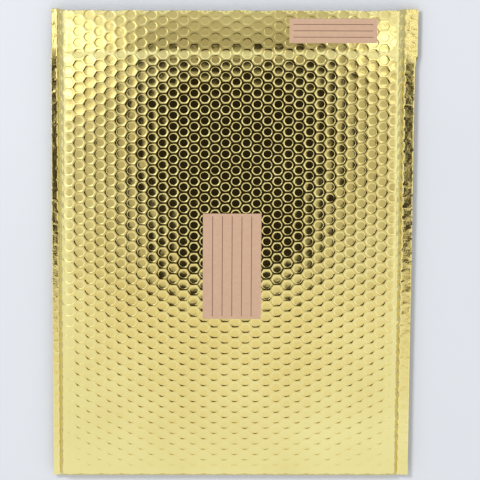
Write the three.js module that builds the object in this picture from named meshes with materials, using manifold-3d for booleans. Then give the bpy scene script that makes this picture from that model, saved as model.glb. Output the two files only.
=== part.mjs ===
import * as THREE from "three";
import { mergeVertices } from "three/addons/utils/BufferGeometryUtils.js";
import Module from "manifold-3d";

// A padded envelope lying open on its back panel, in millimetres with +Z up.
// The address face looks up, the foot fold lies towards -Y and the open flap towards +Y.
// A web of metallised film and a web of bubble lining are folded together at the foot
// and welded down both sides. The front ply runs on past the mouth and becomes the flap.

// Outline
const bodyWidth = 370;
const bodyLength = 480;
const flapLength = 50;
const weldWidth = 9;

// Section through the two plies and the pocket between them
const filmThickness = 0.3;
const bondGap = 0.3;
const liningThickness = 3.4;
const pocketGap = 6;
const weldThickness = 0.6;

// How far the panels take to round down to the welds and to the foot fold
const sideReach = 12;
const foldReach = 9;

// The flap sinks a little past the lip of the back panel
const flapDrop = 1.2;
const bendLength = 12;

// Closing strip on the flap's inner face, with the liner that covers it
const adhesiveWidth = 20;
const adhesiveThickness = 0.3;
const adhesiveToEdge = 15;
const stripMargin = 5;
const linerWidth = 30;
const linerThickness = 0.2;

// Paper labels stuck on the front
const labelThickness = 0.3;
const addressLabel = { across: 60, along: 120, aboveMiddle: 4 };
const senderLabel = { across: 89, along: 27, toSide: 39, toEdge: 8.5 };

// Facets on each rounded quarter, and how far a cutter runs past what it cuts
const roundSegments = 6;
const overrun = 5;

const plyThickness = filmThickness + bondGap + liningThickness;
const midHeight = plyThickness + pocketGap / 2;
const height = 2 * midHeight;
const flapTop = height - flapDrop;
const flapUnderside = flapTop - plyThickness;
const footY = -(bodyLength + flapLength) / 2;
const mouthY = footY + bodyLength;
const tipY = mouthY + flapLength;
const weldX = bodyWidth / 2 - weldWidth;
const flatHalfWidth = weldX - plyThickness - sideReach;

const wasm = await Module();
wasm.setup();

function solidOf(geometry) {
  geometry.deleteAttribute("normal");
  geometry.deleteAttribute("uv");
  const merged = mergeVertices(geometry);
  const mesh = new wasm.Mesh({
    numProp: 3,
    vertProperties: merged.attributes.position.array,
    triVerts: new Uint32Array(merged.index.array),
  });
  return new wasm.Manifold(mesh);
}

function geometryOf(solid) {
  const { vertProperties, triVerts } = solid.getMesh();
  const geometry = new THREE.BufferGeometry();
  geometry.setAttribute("position", new THREE.BufferAttribute(vertProperties, 3));
  geometry.setIndex(new THREE.BufferAttribute(triVerts, 1));
  return geometry;
}

// A box between two corners.
function boxGeometry(low, high) {
  const size = high.map((value, axis) => value - low[axis]);
  const centre = high.map((value, axis) => (value + low[axis]) / 2);
  return new THREE.BoxGeometry(...size).translate(...centre);
}

// The pouch's section across X at a depth under the film's outer face, as (x, z).
function acrossShape(depth) {
  const turnX = weldX - depth - sideReach;
  const rise = midHeight - depth;
  const shape = new THREE.Shape();
  shape.absellipse(turnX, midHeight, sideReach, rise, -Math.PI / 2, Math.PI / 2);
  shape.absellipse(-turnX, midHeight, sideReach, rise, Math.PI / 2, 1.5 * Math.PI);
  return shape;
}

// The section along Y at that depth, as (y, z): round at the foot, sinking past the mouth.
function alongShape(depth, endY) {
  const turnY = footY + depth + foldReach;
  const bendY = mouthY + bendLength / 2;
  const shape = new THREE.Shape();
  shape.moveTo(endY, depth);
  shape.lineTo(turnY, depth);
  shape.absellipse(turnY, midHeight, foldReach, midHeight - depth, 1.5 * Math.PI, Math.PI / 2, true);
  shape.lineTo(mouthY, height - depth);
  shape.bezierCurveTo(
    bendY, height - depth,
    bendY, flapTop - depth,
    mouthY + bendLength, flapTop - depth,
  );
  shape.lineTo(endY, flapTop - depth);
  return shape;
}

// Everything inside the pouch's surface at a depth, as if the back panel reached the tip too.
function pouch(depth, endY) {
  const curveSegments = roundSegments;
  const length = endY - footY;
  const across = new THREE.ExtrudeGeometry(acrossShape(depth), {
    depth: length,
    bevelEnabled: false,
    curveSegments,
  });
  across.rotateX(Math.PI / 2).translate(0, endY, 0);
  const along = new THREE.ExtrudeGeometry(alongShape(depth, endY), {
    depth: bodyWidth,
    bevelEnabled: false,
    curveSegments,
  });
  const yAxis = new THREE.Vector3(0, 1, 0);
  const zAxis = new THREE.Vector3(0, 0, 1);
  const xAxis = new THREE.Vector3(1, 0, 0);
  along.applyMatrix4(new THREE.Matrix4().makeBasis(yAxis, zAxis, xAxis));
  along.translate(-bodyWidth / 2, 0, 0);
  return solidOf(across).intersect(solidOf(along));
}

// The space below a level past the mouth, where the back panel has ended.
function belowFlap(level) {
  const low = [-bodyWidth, mouthY, -overrun];
  const high = [bodyWidth, tipY + overrun, level];
  return solidOf(boxGeometry(low, high));
}

// The welded margin down one side, both plies pressed into one strip.
function weldStrip(side) {
  const inner = side * (weldX - filmThickness);
  const outer = (side * bodyWidth) / 2;
  const low = [Math.min(inner, outer), footY, midHeight - weldThickness / 2];
  const high = [Math.max(inner, outer), tipY, midHeight + weldThickness / 2];
  return solidOf(boxGeometry(low, high));
}

function outerFilm() {
  const skin = pouch(0, tipY)
    .add(weldStrip(-1))
    .add(weldStrip(1))
    .subtract(pouch(filmThickness, tipY + overrun))
    .subtract(belowFlap(midHeight - weldThickness / 2));
  return geometryOf(skin);
}

function bubbleLining() {
  const padding = pouch(filmThickness + bondGap, tipY)
    .subtract(pouch(plyThickness, tipY + overrun))
    .subtract(belowFlap(midHeight));
  return geometryOf(padding);
}

function adhesiveStrip() {
  const halfLength = flatHalfWidth - stripMargin;
  const outerY = tipY - adhesiveToEdge;
  return boxGeometry(
    [-halfLength, outerY - adhesiveWidth, flapUnderside - adhesiveThickness],
    [halfLength, outerY, flapUnderside],
  );
}

function releaseLiner() {
  const level = flapUnderside - adhesiveThickness;
  const centreY = tipY - adhesiveToEdge - adhesiveWidth / 2;
  return boxGeometry(
    [-flatHalfWidth, centreY - linerWidth / 2, level - linerThickness],
    [flatHalfWidth, centreY + linerWidth / 2, level],
  );
}

function addressLabelPaper() {
  const { across, along, aboveMiddle } = addressLabel;
  const centreY = (footY + mouthY) / 2 + aboveMiddle;
  return boxGeometry(
    [-across / 2, centreY - along / 2, height],
    [across / 2, centreY + along / 2, height + labelThickness],
  );
}

function senderLabelPaper() {
  const { across, along, toSide, toEdge } = senderLabel;
  const rightX = bodyWidth / 2 - toSide;
  const topY = tipY - toEdge;
  return boxGeometry(
    [rightX - across, topY - along, flapTop],
    [rightX, topY, flapTop + labelThickness],
  );
}

const goldFilm = new THREE.MeshStandardMaterial({ color: 0xcfb871, roughness: 0.25, metalness: 1 });
const clearBubble = new THREE.MeshStandardMaterial({ color: 0xdfe3e4, roughness: 0.3, metalness: 0 });
const hotMelt = new THREE.MeshStandardMaterial({ color: 0xe6dcb8, roughness: 0.35, metalness: 0 });
const siliconePaper = new THREE.MeshStandardMaterial({ color: 0xf4f4f0, roughness: 0.5, metalness: 0 });
const labelPaper = new THREE.MeshStandardMaterial({ color: 0xd9b79c, roughness: 0.8, metalness: 0 });

const pieces = [
  ["outer_film", outerFilm(), goldFilm],
  ["bubble_lining", bubbleLining(), clearBubble],
  ["adhesive_strip", adhesiveStrip(), hotMelt],
  ["release_liner", releaseLiner(), siliconePaper],
  ["address_label", addressLabelPaper(), labelPaper],
  ["sender_label", senderLabelPaper(), labelPaper],
];

const envelope = new THREE.Group();
for (const [name, geometry, material] of pieces) {
  const mesh = new THREE.Mesh(geometry, material);
  mesh.name = name;
  envelope.add(mesh);
}

export default envelope;
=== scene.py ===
import math
import bmesh
import bpy
import numpy as np
from mathutils import Matrix, Vector, noise


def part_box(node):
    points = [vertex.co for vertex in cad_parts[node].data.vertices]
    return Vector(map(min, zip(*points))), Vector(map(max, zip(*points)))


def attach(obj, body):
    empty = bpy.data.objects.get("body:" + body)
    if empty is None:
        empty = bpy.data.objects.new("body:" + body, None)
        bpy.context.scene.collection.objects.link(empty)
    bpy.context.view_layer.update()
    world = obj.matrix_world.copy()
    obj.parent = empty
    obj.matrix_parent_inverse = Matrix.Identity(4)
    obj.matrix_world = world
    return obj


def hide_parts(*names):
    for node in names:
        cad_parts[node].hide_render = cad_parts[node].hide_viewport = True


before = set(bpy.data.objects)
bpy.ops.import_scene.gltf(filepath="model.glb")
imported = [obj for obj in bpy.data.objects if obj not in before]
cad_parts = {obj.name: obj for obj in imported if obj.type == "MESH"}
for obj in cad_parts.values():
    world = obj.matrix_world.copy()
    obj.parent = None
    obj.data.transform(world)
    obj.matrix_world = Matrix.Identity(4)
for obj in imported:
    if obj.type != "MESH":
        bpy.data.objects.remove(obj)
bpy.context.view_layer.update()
mm = 0.001

# A padded envelope lying on the floor at z = 0, foot fold towards -Y and open flap towards +Y.
# Everything is in metres. Lengths in the dictionaries are millimetres, and a pair is left and right side,
# or start and end of a change.
smoothly = {"interpolation_type": "SMOOTHSTEP"}


def deselectAll():
    bpy.ops.object.select_all(action="DESELECT")


def nodeBox(name):
    # lowest and highest corner of a CAD node, in millimetres
    return [[round(v / mm, 1) for v in corner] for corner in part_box(name)]


def linearColour(hexText):
    # sRGB hex to the linear values that shaders work in
    channels = [int(hexText[i:i + 2], 16) / 255 for i in (1, 3, 5)]
    return tuple(c / 12.92 if c <= 0.04045 else ((c + 0.055) / 1.055) ** 2.4 for c in channels) + (1.0,)


def newMaterial(name):
    material = bpy.data.materials.new(name)
    material.use_nodes = True
    material.node_tree.nodes.clear()
    return material


def addNode(material, kind, settings=None, inputs=None, stops=None):
    # adds one node; an input is a value, a node to link by its first output, or (node, output)
    node = material.node_tree.nodes.new(kind)
    for key, value in (settings or {}).items():
        setattr(node, key, value)
    for key, value in (inputs or {}).items():
        if isinstance(value, bpy.types.Node):
            value = (value, 0)
        if isinstance(value, tuple) and isinstance(value[0], bpy.types.Node):
            material.node_tree.links.new(value[0].outputs[value[1]], node.inputs[key])
        else:
            node.inputs[key].default_value = value
    if stops:
        for element, (place, colour) in zip(node.color_ramp.elements, stops):
            element.position = place
            element.color = linearColour(colour)
    return node


# Camera: long lens, 25 degrees off square, the flap at the top of the picture
camera = {
    "place": (-72.7, 2992.1, 6358.1),
    "right": (0.99993325, 0.00562239, 0.01009412),
    "up": (-0.00079289, 0.90495287, -0.42551107),
    "focalPixels": 6822.7,
    "pictureWidth": 480,
    "sensorWidth": 36.0,
    "clip": (100, 100000),
}


def makeCamera():
    data = bpy.data.cameras.new("camera")
    data.sensor_width = camera["sensorWidth"]
    data.lens = camera["focalPixels"] / camera["pictureWidth"] * camera["sensorWidth"]
    data.clip_start, data.clip_end = (distance * mm for distance in camera["clip"])
    item = bpy.data.objects.new("camera", data)
    bpy.context.collection.objects.link(item)
    right, up = Vector(camera["right"]), Vector(camera["up"])
    back = right.cross(up)
    turn = Matrix((right, up, back)).transposed().to_4x4()
    item.matrix_world = Matrix.Translation(Vector(camera["place"]) * mm) @ turn
    bpy.context.scene.camera = item


makeCamera()

# Studio: a pale floor, a soft white surround and one soft lamp
studio = {
    "floorSize": 60000,
    "floorColours": [(0.3, "#e3e6ec"), (0.7, "#e7eaf0")],
    "floorCloud": 500,
    "surroundColour": "#ffffff",
    "surroundStrength": 0.66,
    "lampPlace": (-1500, 2600, 3000),
    "lampSize": 1000,
    "lampPower": 82,
}

# The tent's ceiling, whose mirror image is most of what shows on the film. It hangs over that point of the
# panel, and places on it are counted from its middle
ceiling = {
    "over": (2, 90, 14),
    "away": 650,
    "size": 3000,
    "openingWidth": 226,
    "openingHeight": 254,
    "openingRound": 34,
    "openingSoft": 26,
    "openingTaper": 0.26,
    "openingColour": "#2b251e",
    "clothColours": [(0, "#fff8e2"), (1, "#f1f8ff")],  # by the opening and away from it
    "glow": (0.64, 1.42),
    "footGlow": (1.0, 1.22),
    "glowReach": 230,
    "footSpan": (58, 173),
    "dimSpan": (300, 560),
    "dimTo": 0.55,
    "valanceShade": 0.26,
    "valanceSides": (80, 170),
    "valanceBottom": (92, 132),
    "valanceTop": (285, 340),
    "lampSpots": [(-221, 154, 115, 2.4), (176, 154, 62, 1.9)],  # x, y, radius, strength
}


def makeSurround():
    scene = bpy.context.scene
    scene.view_settings.view_transform = "Standard"
    world = bpy.data.worlds.new("surround")
    scene.world = world
    world.use_nodes = True
    background = world.node_tree.nodes["Background"]
    background.inputs["Color"].default_value = linearColour(studio["surroundColour"])
    background.inputs["Strength"].default_value = studio["surroundStrength"]


def stagePlane(name, size, material):
    deselectAll()
    bpy.ops.mesh.primitive_plane_add(size=size * mm, location=(0, 0, 0))
    plane = bpy.context.object
    plane.name = name
    plane.data.materials.append(material)
    return plane


def hangCeiling():
    # it faces the panel along the mirrored line of sight, and only gloss sees it
    sight = Vector(camera["right"]).cross(Vector(camera["up"]))
    mirrored = Vector((-sight.x, -sight.y, sight.z))
    across = Vector((1, 0, 0))
    along = mirrored.cross(across).normalized()
    middle = Vector(ceiling["over"]) * mm + mirrored * ceiling["away"] * mm
    turn = Matrix((across, along, across.cross(along))).transposed().to_4x4()
    plane = stagePlane("tent ceiling", ceiling["size"], ceilingMaterial())
    plane.matrix_world = Matrix.Translation(middle) @ turn
    plane.visible_camera = False
    plane.visible_diffuse = False
    plane.visible_shadow = False
    plane.visible_transmission = False


def hangLamp():
    light = bpy.data.lights.new("softbox", "AREA")
    light.shape = "DISK"
    light.size = studio["lampSize"] * mm
    light.energy = studio["lampPower"]
    lamp = bpy.data.objects.new("softbox", light)
    lamp.visible_glossy = False
    bpy.context.collection.objects.link(lamp)
    place = Vector(studio["lampPlace"]) * mm
    lamp.location = place
    lamp.rotation_euler = (-place).to_track_quat("-Z", "Y").to_euler()


def floorMaterial():
    # painted studio board, matt and pale
    material = newMaterial("painted studio board")
    place = addNode(material, "ShaderNodeTexCoord")
    cloud = addNode(material, "ShaderNodeTexNoise", None,
                    {"Vector": (place, "Object"), "Scale": 1 / (studio["floorCloud"] * mm), "Detail": 2.0})
    paint = addNode(material, "ShaderNodeValToRGB", None, {"Fac": cloud}, studio["floorColours"])
    board = addNode(material, "ShaderNodeBsdfPrincipled", None, {"Base Color": paint, "Roughness": 0.9})
    addNode(material, "ShaderNodeOutputMaterial", None, {"Surface": board})
    return material


def span(start, end):
    # where a change along the ceiling starts and ends
    return {"From Min": start * mm, "From Max": end * mm}


def openingReach(material, place, below):
    # how far outside the rounded opening, whose lower corners are cut off slantwise
    fromMiddle = addNode(material, "ShaderNodeMath", {"operation": "MAXIMUM"}, {0: below, 1: 0.0})
    taper = addNode(material, "ShaderNodeMath", {"operation": "MULTIPLY"},
                    {0: fromMiddle, 1: ceiling["openingTaper"]})
    slant = addNode(material, "ShaderNodeCombineXYZ", None, {"X": taper})
    away = addNode(material, "ShaderNodeVectorMath", {"operation": "ABSOLUTE"}, {0: (place, "Object")})
    slanted = addNode(material, "ShaderNodeVectorMath", {"operation": "ADD"}, {0: away, 1: slant})
    half = [(ceiling[size] / 2 - ceiling["openingRound"]) * mm
            for size in ("openingWidth", "openingHeight")]
    past = addNode(material, "ShaderNodeVectorMath", {"operation": "SUBTRACT"}, {0: slanted, 1: (*half, 0)})
    outside = addNode(material, "ShaderNodeVectorMath", {"operation": "MAXIMUM"}, {0: past, 1: (0, 0, 0)})
    length = addNode(material, "ShaderNodeVectorMath", {"operation": "LENGTH"}, {0: outside})
    return length, "Value"


def clothGlow(material, reach, far, below):
    # light of the cloth: it grows away from the opening, less so towards the foot, and fails far out
    edge = ceiling["openingRound"]
    low, high = ceiling["glow"]
    sides = addNode(material, "ShaderNodeMapRange", None, {"Value": far, "To Min": low, "To Max": high})
    dimStart, dimEnd = ceiling["dimSpan"]
    dim = addNode(material, "ShaderNodeMapRange", smoothly,
                  {"Value": reach, **span(edge + dimStart, edge + dimEnd),
                   "To Min": 1.0, "To Max": ceiling["dimTo"]})
    sides = addNode(material, "ShaderNodeMath", {"operation": "MULTIPLY"}, {0: sides, 1: dim})
    low, high = ceiling["footGlow"]
    foot = addNode(material, "ShaderNodeMapRange", None, {"Value": far, "To Min": low, "To Max": high})
    atFoot = addNode(material, "ShaderNodeMapRange", smoothly,
                     {"Value": below, **span(*ceiling["footSpan"])})
    return addNode(material, "ShaderNodeMix", {"data_type": "FLOAT"},
                   {"Factor": atFoot, "A": sides, "B": foot})


def pastValance(material, axes):
    # share of the cloth's light that gets past the valance, which hangs across above the opening
    across = addNode(material, "ShaderNodeMath", {"operation": "ABSOLUTE"}, {0: (axes, "X")})
    hung = addNode(material, "ShaderNodeMapRange", smoothly,
                   {"Value": across, **span(*ceiling["valanceSides"]),
                    "To Min": ceiling["valanceShade"], "To Max": 0.0})
    rising = addNode(material, "ShaderNodeMapRange", smoothly,
                     {"Value": (axes, "Y"), **span(*ceiling["valanceBottom"])})
    ending = addNode(material, "ShaderNodeMapRange", smoothly,
                     {"Value": (axes, "Y"), **span(*ceiling["valanceTop"]), "To Min": 1.0, "To Max": 0.0})
    rows = addNode(material, "ShaderNodeMath", {"operation": "MULTIPLY"}, {0: rising, 1: ending})
    hung = addNode(material, "ShaderNodeMath", {"operation": "MULTIPLY"}, {0: hung, 1: rows})
    return addNode(material, "ShaderNodeMath", {"operation": "SUBTRACT"}, {0: 1.0, 1: hung})


def ceilingMaterial():
    # lit white cloth, with the dim room behind its opening
    material = newMaterial("lit tent cloth")
    place = addNode(material, "ShaderNodeTexCoord")
    axes = addNode(material, "ShaderNodeSeparateXYZ", None, {"Vector": (place, "Object")})
    below = addNode(material, "ShaderNodeMath", {"operation": "MULTIPLY"}, {0: (axes, "Y"), 1: -1.0})
    reach = openingReach(material, place, below)
    edge, soft = ceiling["openingRound"], ceiling["openingSoft"] / 2
    cloth = addNode(material, "ShaderNodeMapRange", smoothly,
                    {"Value": reach, **span(edge - soft, edge + soft)})
    far = addNode(material, "ShaderNodeMapRange", smoothly,
                  {"Value": reach, **span(edge, edge + ceiling["glowReach"])})
    glow = clothGlow(material, reach, far, below)
    glow = addNode(material, "ShaderNodeMath", {"operation": "MULTIPLY"},
                   {0: glow, 1: pastValance(material, axes)})
    for spotX, spotY, radius, strength in ceiling["lampSpots"]:
        middle = addNode(material, "ShaderNodeVectorMath", {"operation": "DISTANCE"},
                         {0: (place, "Object"), 1: (spotX * mm, spotY * mm, 0)})
        spot = addNode(material, "ShaderNodeMapRange", smoothly,
                       {"Value": (middle, "Value"), **span(0, radius), "To Min": strength, "To Max": 0.0})
        glow = addNode(material, "ShaderNodeMath", {"operation": "ADD"}, {0: glow, 1: spot})
    tint = addNode(material, "ShaderNodeValToRGB", None, {"Fac": far}, ceiling["clothColours"])
    lit = addNode(material, "ShaderNodeEmission", None, {"Color": tint, "Strength": glow})
    room = addNode(material, "ShaderNodeEmission", None, {"Color": linearColour(ceiling["openingColour"])})
    both = addNode(material, "ShaderNodeMixShader", None, {0: cloth, 1: room, 2: lit})
    addNode(material, "ShaderNodeOutputMaterial", None, {"Surface": both})
    return material


def makeStudio():
    makeSurround()
    stagePlane("floor", studio["floorSize"], floorMaterial())
    hangCeiling()
    hangLamp()
    print("camera and studio made")


makeStudio()

# The web: gold film with bubble lining bonded under it. It runs from the flap's tip (s = 0) over the
# front, round the foot fold and along the back to the mouth. x is across, s along, depth inwards
filmLow, filmHigh = nodeBox("outer_film")
web = {
    "tip": filmHigh[1],
    "foot": filmLow[1],
    "mouth": filmLow[1] + 480,
    "edge": filmHigh[0],
    "height": filmHigh[2],
    "ply": 4,
    "lineStep": 0.25,
    "foldPoints": 90,
    "foldReach": 9,
    "bendStart": 212.5,  # places of the bend and the flap's notches are y
    "bendLength": 9.5,
    "flapDrop": 0.8,
    "tipCurl": 0.9,
    "tipWave": (0.6, 37, 12),  # height, length and how far it reaches from the tip
    "flapNotch": (222, 211),
    "flapOffset": (-1.0, 2.6),
    "edgeWobble": (0.3, 21),
    "sideNoise": 9,  # how far apart both sides look into the noise, so that they differ
    "flat": (167, 164),
    "weld": (178, 173.5),
    "weldShare": 0.05,  # what the welds keep of the height, on the outside and on plain skins
    "plainShare": 0.01,
    "scallop": (0.9, 1.6),  # least and most, and how far along the weld it takes to change
    "scallopLength": 17,
    "outerDepth": 0.5,  # what lies deeper is under the film
    "crinkles": [(0.7, 3.2), (0.8, 8)],  # height, length
    "crinkleStretch": 0.7,
    "weldCalm": 0.8,
    "foldFade": (4, 14),
    "curl": (0.9, 1.1),
    "curlMost": 1.2,
    "flapUncurl": 0.8,
    "flapUncurlSpan": (8, 4),
    "sag": 0.12,
    # height, radians for each millimetre across and along, and where it starts
    "waves": [(0.14, 0.031, 0.012, 0.4), (0.1, -0.018, 0.027, 2.1), (0.05, 0.055, -0.041, 4.0)],
    "wavesFrom": 25,
    "wavesReach": 60,
}

# Bubbles stand in columns along the envelope, every other column half a pitch on
bubbles = {
    "pitch": 12.36,
    "columnSpacing": 10.7,
    "anchor": (-60.6, 161.7),
    "sides": 12,
    "mergeSteps": 20,  # points that fall on the same twentieth of a millimetre are one
    "margin": 8,
    "cutSnap": 0.01,
    "onCut": 0.02,
    "weldCrush": 0.45,
    "crushFrom": 2,
    "footSpan": (-262, -165),  # y, as the next one
    "flapEnd": 228,
    "foldSpan": (8, 22),
    "dipSpan": (2, 5.5),
}


def webLine():
    # the film's outer line in the YZ plane as arc length, y, z and the inward normal
    step = web["lineStep"]
    top, middle = web["height"], web["height"] / 2
    bendEnd = web["bendStart"] + web["bendLength"]
    turn = web["foot"] + web["foldReach"]
    flapY = np.arange(web["tip"], bendEnd, -step)
    flapZ = top - web["flapDrop"] - web["tipCurl"] * ((flapY - bendEnd) / (web["tip"] - bendEnd)) ** 2
    bendY = np.arange(bendEnd, web["bendStart"], -step)
    bendTurn = math.pi * (bendY - web["bendStart"]) / web["bendLength"]
    bendZ = top - web["flapDrop"] * (1 - np.cos(bendTurn)) / 2
    frontY = np.arange(web["bendStart"], turn, -step)
    frontZ = np.full(len(frontY), top)
    angle = np.linspace(0, math.pi, web["foldPoints"])
    foldY = turn - web["foldReach"] * np.sin(angle)
    foldZ = middle + middle * np.cos(angle)
    backY = np.arange(turn + step, web["mouth"] + step / 2, step)
    y = np.concatenate([flapY, bendY, frontY, foldY, backY])
    z = np.concatenate([flapZ, bendZ, frontZ, foldZ, np.zeros(len(backY))])
    s = np.concatenate([[0], np.cumsum(np.hypot(np.diff(y), np.diff(z)))])
    tangentY, tangentZ = np.gradient(y, s), np.gradient(z, s)
    size = np.hypot(tangentY, tangentZ)
    return s, y, z, -tangentZ / size, tangentY / size


lineS, lineY, lineZ, lineNormalY, lineNormalZ = webLine()
webLength = float(lineS[-1])
noseS = float(lineS[np.argmin(lineY)])


def frontS(y):
    # arc length at a place on the flap or the front panel
    front = lineS <= noseS
    return np.interp(-np.asarray(y, float), -lineY[front], lineS[front])


def smoothStep(value, low, high):
    t = np.clip((np.asarray(value) - low) / (high - low), 0, 1)
    return t * t * (3 - 2 * t)


def weldStart(left, s, depth):
    # how far out the web is pressed flat. The half bubbles next to the weld bulge over it, unevenly,
    # and everything under the film keeps clear of that
    least, most = web["scallop"]
    change = [noise.noise((v / web["scallopLength"], u * web["sideNoise"], 5)) for u, v in zip(left, s)]
    uneven = least + (most - least) * np.array(change)
    row = (s - frontS(bubbles["anchor"][1])) / bubbles["pitch"]
    bulge = np.cos(row * 2 * math.pi) * np.where(left, -1, 1)
    scallop = uneven * bulge * smoothStep(np.abs(s - noseS), *web["foldFade"])
    return np.where(left, *web["weld"]) + np.where(depth < web["outerDepth"], scallop, -most)


def tipWave(x, s):
    # the flap's tip isn't cut quite straight: two waves that don't repeat together
    high, long, reach = web["tipWave"]
    wave = np.sin(x / long * 2 * math.pi) + np.sin(x / long * 4.4 + 1) - 1
    return high * wave * (1 - smoothStep(s, 0, reach)) / 2


def panelWaves(x, y, s):
    # the front ply sags a little between the welds, in long shallow waves that start past the fold
    lift = sum(size * np.sin(kx * x + ky * y + phase) for size, kx, ky, phase in web["waves"])
    return (lift - web["sag"]) * np.clip((noseS - web["wavesFrom"] - s) / web["wavesReach"], 0, 1)


def crinkles(x, y, s, weld, share):
    # creased billows of two lengths, drawn out across the weld, lower on it and gone in the fold
    stretched = x * web["crinkleStretch"]
    height = np.array([sum(high * abs(noise.noise((a / long, b / long, 3.7))) * 2
                           for high, long in web["crinkles"]) for a, b in zip(stretched, y)])
    calm = 1 - web["weldCalm"] * smoothStep(np.abs(x), weld - 1, weld + 1)
    fade = smoothStep(np.abs(s - noseS), *web["foldFade"])
    outwards = np.where(s < noseS, 1, -1)
    return height * (np.sqrt(1 - share) * calm * (fade * outwards))


def edgeCurl(x, y, left, weld):
    # the cut edges stand up a little, less so on the flap
    notch = np.where(left, *web["flapNotch"])
    before, after = web["flapUncurlSpan"]
    outwards = np.clip((np.abs(x) - weld) / (web["edge"] - weld), 0, web["curlMost"])
    onFlap = smoothStep(y, notch - before, notch + after)
    return np.where(left, *web["curl"]) * outwards * (1 - web["flapUncurl"] * onFlap)


def webPoint(x, s, depth, plain=False):
    # where points of the web lie, in metres; plain ones keep out of the way of the crinkled ones
    x, s, depth, plain = (np.array(v) for v in np.broadcast_arrays(x, s, depth, plain))
    middle = web["height"] / 2
    left = x < 0
    flat = np.where(left, *web["flat"])
    weld = weldStart(left, s, depth)
    beside = np.clip((np.abs(x) - flat) / (weld - flat), 0, 1)
    share = np.maximum(np.sqrt(1 - beside ** 2), np.where(plain, web["plainShare"], web["weldShare"]))
    y = np.interp(s, lineS, lineY) + np.interp(s, lineS, lineNormalY) * depth + tipWave(x, s)
    z = np.interp(s, lineS, lineZ) + np.interp(s, lineS, lineNormalZ) * depth
    z = z + panelWaves(x, y, s) * share
    z = middle + (z - middle) * share
    rough = (np.abs(x) > flat) & ~plain
    z[rough] += crinkles(*(v[rough] for v in (x, y, s, weld, share)))
    z += edgeCurl(x, y, left, weld)
    x = x - np.sign(x) * np.minimum(depth, web["ply"]) * (1 - share) * (beside < 1)
    return np.column_stack([x, y, z]) * mm


def outerX(side, y):
    # the cut edge: the flap is cut a little out of line with the body
    which = 0 if side < 0 else 1
    notch = web["flapNotch"][which]
    size, long = web["edgeWobble"]
    wobble = np.array([size * noise.noise((side * web["sideNoise"], v / long, 0)) for v in y])
    return web["edge"] + wobble + web["flapOffset"][which] * smoothStep(y, notch - 1, notch + 1)


def bubbleCentres(left, right):
    # (x, s) of the bubbles with their middle between those sides
    x0, y0 = bubbles["anchor"]
    s0 = float(frontS(y0))
    spacing, pitch = bubbles["columnSpacing"], bubbles["pitch"]
    firstColumn, lastColumn = math.ceil((left - x0) / spacing), math.floor((right - x0) / spacing)
    centres = []
    for column in range(firstColumn, lastColumn + 1):
        shift = s0 + (column % 2) * pitch / 2
        firstRow = math.ceil((-pitch / 2 - shift) / pitch)
        lastRow = math.floor((webLength + pitch / 2 - shift) / pitch)
        centres += [(x0 + column * spacing, shift + row * pitch) for row in range(firstRow, lastRow + 1)]
    return np.array(centres)


def cellOutlines(layer):
    # round one bubble's middle: its rings, each with its share of the rise, and the hexagonal border
    pitch, spacing, sides = bubbles["pitch"], bubbles["columnSpacing"], bubbles["sides"]
    corner = (spacing ** 2 + pitch ** 2 / 4) / (2 * spacing)
    inner = spacing - corner
    half = [(corner, 0), (spacing / 2, pitch / 4), (inner, pitch / 2),
            (0, pitch / 2), (-inner, pitch / 2), (-spacing / 2, pitch / 4)]
    border = np.array(half + [(-a, -b) for a, b in half])
    turns = np.radians(np.arange(sides) * (360 / sides))
    circle = np.column_stack([np.cos(turns), np.sin(turns)])
    rings = [(circle * np.tile([toCorner, toSide], sides // 2)[:, None], share)
             for toCorner, toSide, share in layer["rings"]]
    return rings, border


def bubbleField(centres, layer, random):
    # cells laid out flat (x, s, depth): a disc, rings round it and the border shared with the neighbours
    rings, border = cellOutlines(layer)
    sides = bubbles["sides"]
    points, faces = [], []
    for number, centre in enumerate(centres):
        rise = layer["rise"] * (1 + layer["riseSpread"] * random.standard_normal())
        tilt = random.normal(0, layer["discTilt"], 2)
        for ring, share in rings:
            depth = np.clip(share * (rise + ring @ tilt), 0, layer["mostRise"])
            points.append(np.column_stack([centre + ring, layer["base"] + depth]))
        points.append(np.column_stack([centre + border, np.full(sides, layer["base"])]))
        start = number * sides * (len(rings) + 1)
        faces.append([start + k for k in range(sides)])
        for level in range(len(rings)):
            low = start + level * sides
            high = low + sides
            faces += [[low + k, high + k, high + (k + 1) % sides, low + (k + 1) % sides]
                      for k in range(sides)]
    points = np.concatenate(points)
    keys = np.round(points[:, :2] * bubbles["mergeSteps"]).astype(np.int64)
    first, index = np.unique(keys, axis=0, return_index=True, return_inverse=True)[1:]
    index = index.reshape(-1)
    creases = []
    if layer["creasedRing"] is not None:
        starts = (np.arange(len(centres)) * (len(rings) + 1) + layer["creasedRing"]) * sides
        creases = [(int(index[k + n]), int(index[k + (n + 1) % sides]))
                   for k in starts for n in range(sides)]
    return points[first], [[int(index[i]) for i in face] for face in faces], creases


def flattenBubbles(skin, layer):
    # crushed near the welds, shallower at the foot and on the flap, and pressed flat in the fold
    for v in skin.verts:
        which = 0 if v.co.x < 0 else 1
        crushed = smoothStep(abs(v.co.x), web["flat"][which] - bubbles["crushFrom"], web["weld"][which])
        crush = 1 - bubbles["weldCrush"] * float(crushed)
        y = float(np.interp(v.co.y, lineS, lineY))
        shallow = layer["footRise"] + (1 - layer["footRise"]) * float(smoothStep(y, *bubbles["footSpan"]))
        if v.co.y < noseS:
            onFlap = float(smoothStep(y, web["bendStart"], bubbles["flapEnd"]))
            shallow *= 1 - (1 - layer["flapRise"]) * onFlap
        fold = float(smoothStep(abs(v.co.y - noseS), *bubbles["foldSpan"]))
        v.co.z = layer["base"] + (v.co.z - layer["base"]) * crush * shallow * fold


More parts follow.
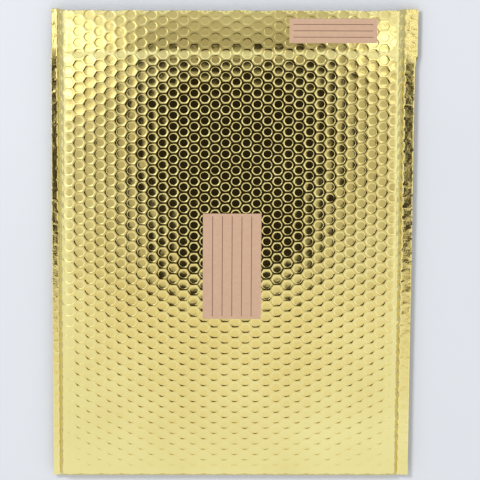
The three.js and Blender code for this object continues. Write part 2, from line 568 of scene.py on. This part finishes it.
# Each layer is a bubbled skin closed by a plain one. Rings run outwards from the disc: radius towards the
# corners, radius towards the sides, share of the rise. Strips run on past the bubbles to the cut edge
film = {
    "node": "outer_film",
    "slot": "gold_film",
    "left": -178.6,
    "right": 173.5,
    "strips": [0.1, 0.22, 0.36, 0.5, 0.64, 0.76, 0.88, 1.0],
    "base": 0,
    "rise": 0.33,
    "riseSpread": 0.06,
    "mostRise": 0.47,
    "discTilt": 0.007,
    "rings": [(2.3, 2.3, 1), (4.3, 4.3, 0.8), (5.05, 4.95, 0.16), (6.4, 5.55, 0)],
    "creasedRing": 1,
    "footRise": 0.8,
    "flapRise": 0.3,
    "plainDepth": 0.56,
    "inset": 0,
    "fill": 0.35,
}
lining = {
    "node": "bubble_lining",
    "slot": "clear_bubble",
    "left": -176.5,
    "right": 171.5,
    "strips": [],
    "base": 0.85,
    "rise": 3.0,
    "riseSpread": 0.03,
    "mostRise": 3.15,
    "discTilt": 0.02,
    "rings": [(2.9, 2.9, 1), (4.3, 4.3, 0.8), (5.1, 5.1, 0)],
    "creasedRing": None,
    "footRise": 1,
    "flapRise": 1,
    "plainDepth": 0.62,
    "inset": 0.7,
    "fill": 0.8,
}
layerSeeds = {"front": 11, "back": 12}

# Grid of the plain skins: how far apart its lines are on the panels, at the bend and in the fold, and
# where they lie between the flat panel (0) and the weld (1)
plainGrid = {
    "step": 16,
    "bendStep": 2,
    "foldStep": 3,
    "foldReach": 24,
    "apart": 2,
    "fromEnd": 1,
    "fromSide": 0.5,
    "shoulder": [0.3, 0.55, 0.75, 0.9, 1.0, 1.4],
}


def bubbledSkin(layer, sLow, sHigh, random):
    # the bubbles inside four straight cuts
    left, right = layer["left"], layer["right"]
    centres = bubbleCentres(left - bubbles["margin"], right + bubbles["margin"])
    points, faces, creases = bubbleField(centres, layer, random)
    skin = bmesh.new()
    made = [skin.verts.new(p) for p in points]
    for face in faces:
        skin.faces.new([made[i] for i in face])
    for a, b in creases:
        skin.edges.get((made[a], made[b])).smooth = False
    cuts = [((left, 0, 0), (-1, 0, 0)), ((right, 0, 0), (1, 0, 0)),
            ((0, sLow, 0), (0, -1, 0)), ((0, sHigh, 0), (0, 1, 0))]
    for place, away in cuts:
        everything = skin.verts[:] + skin.edges[:] + skin.faces[:]
        bmesh.ops.bisect_plane(skin, geom=everything, dist=bubbles["cutSnap"],
                               plane_co=place, plane_no=away, clear_outer=True)
    bmesh.ops.delete(skin, geom=[v for v in skin.verts if not v.link_faces], context="VERTS")
    flattenBubbles(skin, layer)
    return skin


def growWeld(skin, layer, side, start):
    # weld strips, grown outwards from the cut bubbles; gives the vertices of the cut edge
    ring = [e for e in skin.edges
            if e.is_boundary and all(abs(v.co.x - start) < bubbles["onCut"] for v in e.verts)]
    verts = {v for e in ring for v in e.verts}
    for share in layer["strips"]:
        grown = bmesh.ops.extrude_edge_only(skin, edges=ring)["geom"]
        verts = [g for g in grown if isinstance(g, bmesh.types.BMVert)]
        ring = [g for g in grown if isinstance(g, bmesh.types.BMEdge) and g.is_boundary
                and all(v in verts for v in g.verts)]
        edges = outerX(side, np.interp([v.co.y for v in verts], lineS, lineY))
        for v, edge in zip(verts, edges):
            v.co.x = start + (side * edge - start) * share
            v.co.z = layer["base"] + (v.co.z - layer["base"]) / 2
    return verts


def plainRows(skin, layer, sLow, sHigh):
    # rows of vertices of the plain skin, joined by faces
    (flatLeft, flatRight), (weldLeft, weldRight) = web["flat"], web["weld"]
    middle = np.linspace(-flatLeft, flatRight, round((flatLeft + flatRight) / plainGrid["step"]) + 1)
    across = ([-flatLeft - (weldLeft - flatLeft) * t for t in plainGrid["shoulder"][::-1]] + list(middle)
              + [flatRight + (weldRight - flatRight) * t for t in plainGrid["shoulder"]])
    if not layer["strips"]:
        room = plainGrid["fromSide"]
        across = [x for x in across if layer["left"] + room < x < layer["right"] - room]
    bend = frontS(web["bendStart"] + web["bendLength"]), frontS(web["bendStart"])
    reach = plainGrid["foldReach"]
    close = np.concatenate([np.arange(*bend, plainGrid["bendStep"]),
                            np.arange(noseS - reach, noseS + reach, plainGrid["foldStep"])])
    coarse = np.linspace(sLow, sHigh, round((sHigh - sLow) / plainGrid["step"]) + 1)
    coarse = [s for s in coarse if s in (sLow, sHigh) or np.abs(close - s).min() > plainGrid["apart"]]
    room = plainGrid["fromEnd"]
    rows = []
    for s in sorted(coarse + [float(s) for s in close if sLow + room < s < sHigh - room]):
        ends = [layer["left"], layer["right"]]
        if layer["strips"]:
            y = np.interp([s], lineS, lineY)
            ends = [-float(outerX(-1, y)[0]), float(outerX(1, y)[0])]
        rows.append([skin.verts.new((x, s, layer["plainDepth"])) for x in ends[:1] + across + ends[1:]])
    for lower, upper in zip(rows, rows[1:]):
        for k in range(len(lower) - 1):
            skin.faces.new((lower[k], lower[k + 1], upper[k + 1], upper[k]))
    return rows


def zipRows(mesh, rowA, rowB, axis):
    # triangles between two rows of vertices that run along the same axis
    rowA, rowB = (sorted(row, key=lambda v: v.co[axis]) for row in (rowA, rowB))
    lastA, lastB = len(rowA) - 1, len(rowB) - 1
    a, b = 0, 0
    while a < lastA or b < lastB:
        alongA = b == lastB or (a < lastA and rowA[a + 1].co[axis] <= rowB[b + 1].co[axis])
        mesh.faces.new((rowA[a], rowA[a + 1] if alongA else rowB[b + 1], rowB[b]))
        a, b = (a + 1, b) if alongA else (a, b + 1)


def layerMesh(layer, sLow, sHigh, seed):
    # one closed shell between two places along the web: laid out flat, then moved onto the web's line
    skin = bubbledSkin(layer, sLow, sHigh, np.random.default_rng(seed))
    starts = ((-1, layer["left"]), (1, layer["right"]))
    cutEdges = [growWeld(skin, layer, side, start) for side, start in starts]
    rows = plainRows(skin, layer, sLow, sHigh)
    plain = {v for row in rows for v in row}
    rim = {v for e in skin.edges if e.is_boundary for v in e.verts} - plain
    for s, row in ((sLow, rows[0]), (sHigh, rows[-1])):
        zipRows(skin, [v for v in rim if abs(v.co.y - s) < bubbles["onCut"]], row, 0)
    for cutEdge, last in zip(cutEdges, (0, -1)):
        zipRows(skin, cutEdge, [row[last] for row in rows], 1)
    x, s, depth = np.array([v.co[:] for v in skin.verts]).T
    for v, place in zip(skin.verts, webPoint(x, s, depth, [v in plain for v in skin.verts])):
        v.co = place
    bmesh.ops.recalc_face_normals(skin, faces=skin.faces[:])
    if skin.calc_volume(signed=True) < 0:  # a shell this thin can come out with all its faces inwards
        bmesh.ops.reverse_faces(skin, faces=skin.faces[:])
    mesh = bpy.data.meshes.new("layer")
    skin.to_mesh(mesh)
    skin.free()
    return mesh


def finishPiece(name, mesh, node, material):
    piece = bpy.data.objects.new(name, mesh)
    bpy.context.collection.objects.link(piece)
    piece.data.materials.append(material)
    deselectAll()
    piece.select_set(True)
    bpy.context.view_layer.objects.active = piece
    bpy.ops.object.shade_smooth()
    bpy.ops.object.modifier_add(type="WEIGHTED_NORMAL")
    piece.modifiers[0].keep_sharp = True
    bpy.ops.object.modifier_apply(modifier=piece.modifiers[0].name)
    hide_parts(node)
    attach(piece, "root")
    return piece


# Patterns of the film: slow changes of tone, soft wrinkles, and the crimps of the side welds
foil = {
    "colours": [(0.3, "#ddcb82"), (0.7, "#e4d58f")],
    "glancingColour": "#f0e2a6",
    "toneSize": 83.3,
    "roughness": (0.05, 0.09),
    "weldRoughness": 0.07,
    "weldSpan": (173, 177),
    "wrinkleSize": 6.67,
    "wrinkleDepth": 0.2,
    "crimpSize": 1.613,
    "crimpDepth": 0.11,
}


def goldMaterial():
    # gold metallised polyester film: mirror-like metal under clear lacquer. The crimps are too fine to
    # draw one by one, so they show as coarser bumps and a duller gloss
    material = newMaterial("gold metallised film")
    place = addNode(material, "ShaderNodeTexCoord")
    tone = addNode(material, "ShaderNodeTexNoise", None,
                   {"Vector": (place, "Object"), "Scale": 1 / (foil["toneSize"] * mm), "Detail": 2.0})
    colour = addNode(material, "ShaderNodeValToRGB", None, {"Fac": tone}, foil["colours"])
    axes = addNode(material, "ShaderNodeSeparateXYZ", None, {"Vector": (place, "Object")})
    across = addNode(material, "ShaderNodeMath", {"operation": "ABSOLUTE"}, {0: (axes, "X")})
    weldStarts, weldEnds = foil["weldSpan"]
    weld = addNode(material, "ShaderNodeMapRange", smoothly,
                   {"Value": across, "From Min": weldStarts * mm, "From Max": weldEnds * mm})
    least, most = foil["roughness"]
    gloss = addNode(material, "ShaderNodeMapRange", None, {"Value": tone, "To Min": least, "To Max": most})
    gloss = addNode(material, "ShaderNodeMath", {"operation": "MULTIPLY_ADD"},
                    {0: weld, 1: foil["weldRoughness"], 2: gloss})
    wrinkles = addNode(material, "ShaderNodeTexNoise", None,
                       {"Vector": (place, "Object"), "Scale": 1 / (foil["wrinkleSize"] * mm),
                        "Detail": 1.0})
    soft = addNode(material, "ShaderNodeBump", None,
                   {"Height": wrinkles, "Strength": 0.3, "Distance": foil["wrinkleDepth"] * mm})
    crimps = addNode(material, "ShaderNodeTexNoise", None,
                     {"Vector": (place, "Object"), "Scale": 1 / (foil["crimpSize"] * mm), "Detail": 2.0})
    pressed = addNode(material, "ShaderNodeBump", None,
                      {"Height": crimps, "Strength": weld, "Distance": foil["crimpDepth"] * mm,
                       "Normal": soft})
    metal = addNode(material, "ShaderNodeBsdfPrincipled", None,
                    {"Base Color": colour, "Metallic": 1.0, "Roughness": gloss, "Normal": pressed,
                     "Specular Tint": linearColour(foil["glancingColour"]),
                     "Coat Weight": 0.45, "Coat Roughness": 0.06})
    addNode(material, "ShaderNodeOutputMaterial", None, {"Surface": metal})
    return material


clearFilm = {
    "colours": [(0.35, "#dfe3e4"), (0.65, "#f0f2f2")],
    "hazeSize": 25,
    "alpha": (0.28, 0.42),
}


def bubbleMaterial():
    # clear low-density polyethylene, blown thin: see-through and slightly milky
    material = newMaterial("clear polyethylene bubble film")
    place = addNode(material, "ShaderNodeTexCoord")
    haze = addNode(material, "ShaderNodeTexNoise", None,
                   {"Vector": (place, "Object"), "Scale": 1 / (clearFilm["hazeSize"] * mm), "Detail": 2.0})
    colour = addNode(material, "ShaderNodeValToRGB", None, {"Fac": haze}, clearFilm["colours"])
    least, most = clearFilm["alpha"]
    milk = addNode(material, "ShaderNodeMapRange", None, {"Value": haze, "To Min": least, "To Max": most})
    plastic = addNode(material, "ShaderNodeBsdfPrincipled", None,
                      {"Base Color": colour, "Roughness": 0.12, "Alpha": milk})
    addNode(material, "ShaderNodeOutputMaterial", None, {"Surface": plastic})
    return material


def makeLayers():
    gold, clear = goldMaterial(), bubbleMaterial()
    for name, layer, material in (("film", film, gold), ("lining", lining, clear)):
        ends = (layer["inset"], noseS, webLength - layer["inset"])
        for (half, seed), low, high in zip(layerSeeds.items(), ends, ends[1:]):
            mesh = layerMesh(layer, low, high, seed)
            piece = finishPiece(f"{name}_{half}", mesh, layer["node"], material)
        print(name, "made")


makeLayers()

# Paper and glue laid on the web, each over the outline of its CAD node: depths of both faces under the
# film's line, how far they dip into the bubbles, and the step of their grid
sheets = {
    "address_label": {"slot": "label_paper", "depths": (-0.24, -0.06), "dip": 0.18, "step": 2},
    "sender_label": {"slot": "label_paper", "depths": (-0.24, -0.06), "dip": 0.1, "step": 2},
    "adhesive_strip": {"slot": "hot_melt", "depths": (3.92, 4.2), "dip": 0, "step": 5},
    "release_liner": {"slot": "silicone_paper", "depths": (4.2, 4.34), "dip": 0, "step": 5},
}


def bubbleDip(x, s):
    # 1 at the middle of a bubble, falling to 0 at its rim
    x0, y0 = bubbles["anchor"]
    spacing, pitch = bubbles["columnSpacing"], bubbles["pitch"]
    nearest = np.full(x.shape, np.inf)
    for column in (np.floor((x - x0) / spacing), np.ceil((x - x0) / spacing)):
        shift = float(frontS(y0)) + (column % 2) * pitch / 2
        along = s - shift - np.round((s - shift) / pitch) * pitch
        nearest = np.minimum(nearest, np.hypot(x - x0 - column * spacing, along))
    return 1 - smoothStep(nearest, *bubbles["dipSpan"])


def sheetMesh(name):
    # two grids of quads, one over the other, with a wall round them
    sheet = sheets[name]
    (x0, y0), (x1, y1) = (corner[:2] for corner in nodeBox(name))
    across = np.linspace(x0, x1, round((x1 - x0) / sheet["step"]) + 1)
    along = np.linspace(frontS(y1), frontS(y0), round((y1 - y0) / sheet["step"]) + 1)
    x, s = (grid.ravel() for grid in np.meshgrid(across, along))
    wide, high = len(across), len(along)
    places = [webPoint(x, s, depth + sheet["dip"] * bubbleDip(x, s)) for depth in sheet["depths"]]
    corners = [row * wide + column for row in range(high - 1) for column in range(wide - 1)]
    faces = [(k, k + wide, k + wide + 1, k + 1) for k in corners]
    lower = wide * high
    faces += [tuple(lower + i for i in reversed(face)) for face in faces]
    rim = list(range(wide))
    rim += [row * wide + wide - 1 for row in range(1, high)]
    rim += [(high - 1) * wide + column for column in range(wide - 2, -1, -1)]
    rim += [row * wide for row in range(high - 2, 0, -1)]
    faces += [(a, b, b + lower, a + lower) for a, b in zip(rim, rim[1:] + rim[:1])]
    mesh = bpy.data.meshes.new("sheet")
    mesh.from_pydata(np.concatenate(places).tolist(), [], faces)
    return mesh


# Ruled lines: which way they count, the middle one, their spacing, number, width and both ends
ruling = {
    "address_label": {"axis": "X", "middle": 0, "spacing": 10, "count": 5, "width": 0.8, "ends": (-78, 36)},
    "sender_label": {"axis": "Y", "middle": 243, "spacing": 7, "count": 3, "width": 0.8, "ends": (61, 142)},
}
labelPaper = {
    "colours": [(0.3, "#cba486"), (0.7, "#d1ab8c")],
    "lineColour": "#7c5745",
    "grainSize": 3.85,
    "grainDepth": 0.1,
}


def ruledLines(material, place, rule):
    # 1 on the printed lines and 0 beside them
    axes = addNode(material, "ShaderNodeSeparateXYZ", None, {"Vector": (place, "Object")})
    other = "Y" if rule["axis"] == "X" else "X"
    away = addNode(material, "ShaderNodeMath", {"operation": "SUBTRACT"},
                   {0: (axes, rule["axis"]), 1: rule["middle"] * mm})
    fromLine = addNode(material, "ShaderNodeMath", {"operation": "PINGPONG"},
                       {0: away, 1: rule["spacing"] / 2 * mm})
    fromMiddle = addNode(material, "ShaderNodeMath", {"operation": "ABSOLUTE"}, {0: away})
    tests = [("LESS_THAN", fromLine, rule["width"] / 2),
             ("LESS_THAN", fromMiddle, rule["spacing"] * rule["count"] / 2),
             ("GREATER_THAN", (axes, other), rule["ends"][0]),
             ("LESS_THAN", (axes, other), rule["ends"][1])]
    line = 1.0
    for operation, value, limit in tests:
        inside = addNode(material, "ShaderNodeMath", {"operation": operation}, {0: value, 1: limit * mm})
        line = addNode(material, "ShaderNodeMath", {"operation": "MULTIPLY"}, {0: line, 1: inside})
    return line


def labelMaterial(name):
    # matt coated label paper with thin printed lines. Its grain is drawn coarser than real fibres, to show
    material = newMaterial("peach label paper " + name[:name.index("_")])
    place = addNode(material, "ShaderNodeTexCoord")
    line = ruledLines(material, place, ruling[name])
    grain = addNode(material, "ShaderNodeTexNoise", None,
                    {"Vector": (place, "Object"), "Scale": 1 / (labelPaper["grainSize"] * mm),
                     "Detail": 3.0})
    tone = addNode(material, "ShaderNodeValToRGB", None, {"Fac": grain}, labelPaper["colours"])
    printed = addNode(material, "ShaderNodeMix", {"data_type": "RGBA"},
                      {"Factor": line, "A": tone, "B": linearColour(labelPaper["lineColour"])})
    bump = addNode(material, "ShaderNodeBump", None,
                   {"Height": grain, "Strength": 0.15, "Distance": labelPaper["grainDepth"] * mm})
    paper = addNode(material, "ShaderNodeBsdfPrincipled", None,
                    {"Base Color": (printed, "Result"), "Roughness": 0.55, "Normal": bump})
    addNode(material, "ShaderNodeOutputMaterial", None, {"Surface": paper})
    return material


# Glue and liner, plain with slight clouding
closing = {
    "cloudSize": 14.3,
    "hotMelt": [(0.35, "#e0d6b0"), (0.65, "#ebe2c0")],
    "hotMeltRoughness": 0.3,
    "silicone": [(0.35, "#efefea"), (0.65, "#f7f7f3")],
    "siliconeRoughness": 0.45,
}


def plainMaterial(name, colours, roughness):
    material = newMaterial(name)
    place = addNode(material, "ShaderNodeTexCoord")
    cloud = addNode(material, "ShaderNodeTexNoise", None,
                    {"Vector": (place, "Object"), "Scale": 1 / (closing["cloudSize"] * mm), "Detail": 3.0})
    colour = addNode(material, "ShaderNodeValToRGB", None, {"Fac": cloud}, colours)
    body = addNode(material, "ShaderNodeBsdfPrincipled", None,
                   {"Base Color": colour, "Roughness": roughness})
    addNode(material, "ShaderNodeOutputMaterial", None, {"Surface": body})
    return material


def makeSheets():
    # extruded glue with a soft shine, and glazed white paper that glue doesn't stick to
    glue = plainMaterial("hot-melt adhesive", closing["hotMelt"], closing["hotMeltRoughness"])
    liner = plainMaterial("white silicone paper", closing["silicone"], closing["siliconeRoughness"])
    finishes = {"address_label": labelMaterial("address_label"),
                "sender_label": labelMaterial("sender_label"),
                "adhesive_strip": glue,
                "release_liner": liner}
    for name, sheet in sheets.items():
        finishPiece(name + "_sheet", sheetMesh(name), name, finishes[name])
    print("labels and closing strip made")


makeSheets()
